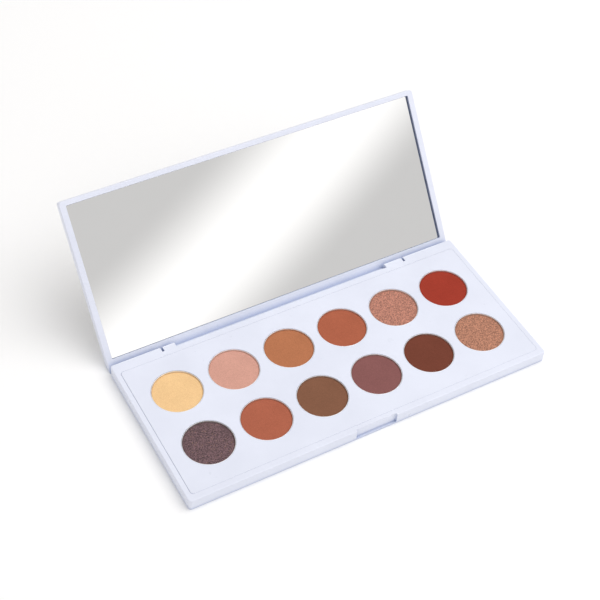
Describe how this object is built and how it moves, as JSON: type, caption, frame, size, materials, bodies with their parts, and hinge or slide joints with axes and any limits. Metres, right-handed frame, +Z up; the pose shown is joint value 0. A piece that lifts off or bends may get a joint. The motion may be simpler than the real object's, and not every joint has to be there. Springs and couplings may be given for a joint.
{
  "type": "eyeshadow palette",
  "caption": "Slim white plastic eyeshadow palette with round pans of pressed powder in a flat insert and a hinged lid with a mirror inside.",
  "frame": {"origin": "centre of the flat face that the base stands on", "axes": "+X along the length, +Y towards the hinge, +Z up"},
  "size_m": [0.2036, 0.1484, 0.0724],
  "materials": {
    "white_plastic": "smooth satin-gloss moulded white",
    "pan_metal": "bright drawn metal",
    "pin_steel": "bright drawn steel",
    "mirror_glass": "silvered glass",
    "foam_tape": "matte foam",
    "glue": "translucent hot-melt glue",
    "printed_card": "printed card with a plain crushed-powder pattern",
    "clear_plastic": "clear polished plastic",
    "powder_pale_yellow": "matte pressed powder",
    "powder_pink_beige": "matte pressed powder",
    "powder_tan": "matte pressed powder",
    "powder_terracotta": "matte pressed powder",
    "powder_rose_gold": "shimmer pressed powder",
    "powder_brick_red": "matte pressed powder",
    "powder_plum_glitter": "pressed powder with fine glitter",
    "powder_burnt_orange": "matte pressed powder",
    "powder_brown": "matte pressed powder",
    "powder_mauve": "matte pressed powder",
    "powder_dark_brown": "matte pressed powder",
    "powder_copper": "shimmer pressed powder"
  },
  "bodies": {
    "base": {"base_tray": "white_plastic", "insert_plate": "white_plastic", "glue_dot_01": "glue", "glue_dot_02": "glue", "glue_dot_03": "glue", "glue_dot_04": "glue", "glue_dot_05": "glue", "glue_dot_06": "glue", "glue_dot_07": "glue", "glue_dot_08": "glue", "glue_dot_09": "glue", "glue_dot_10": "glue", "glue_dot_11": "glue", "glue_dot_12": "glue", "pan_01": "pan_metal", "pan_02": "pan_metal", "pan_03": "pan_metal", "pan_04": "pan_metal", "pan_05": "pan_metal", "pan_06": "pan_metal", "pan_07": "pan_metal", "pan_08": "pan_metal", "pan_09": "pan_metal", "pan_10": "pan_metal", "pan_11": "pan_metal", "pan_12": "pan_metal", "powder_01": "powder_pale_yellow", "powder_02": "powder_pink_beige", "powder_03": "powder_tan", "powder_04": "powder_terracotta", "powder_05": "powder_rose_gold", "powder_06": "powder_brick_red", "powder_07": "powder_plum_glitter", "powder_08": "powder_burnt_orange", "powder_09": "powder_brown", "powder_10": "powder_mauve", "powder_11": "powder_dark_brown", "powder_12": "powder_copper", "hinge_pin_left": "pin_steel", "hinge_pin_right": "pin_steel"},
    "lid": {"lid_shell": "white_plastic", "mirror": "mirror_glass", "mirror_tape": "foam_tape", "lid_card": "printed_card", "lid_window": "clear_plastic"}
  },
  "joints": [
    {"name": "lid_hinge", "type": "hinge", "parent": "base", "child": "lid", "pos_m": [0, 0.0434, 0.0035], "axis": [1, 0, 0], "range_deg": [0, 126.5]}
  ]
}
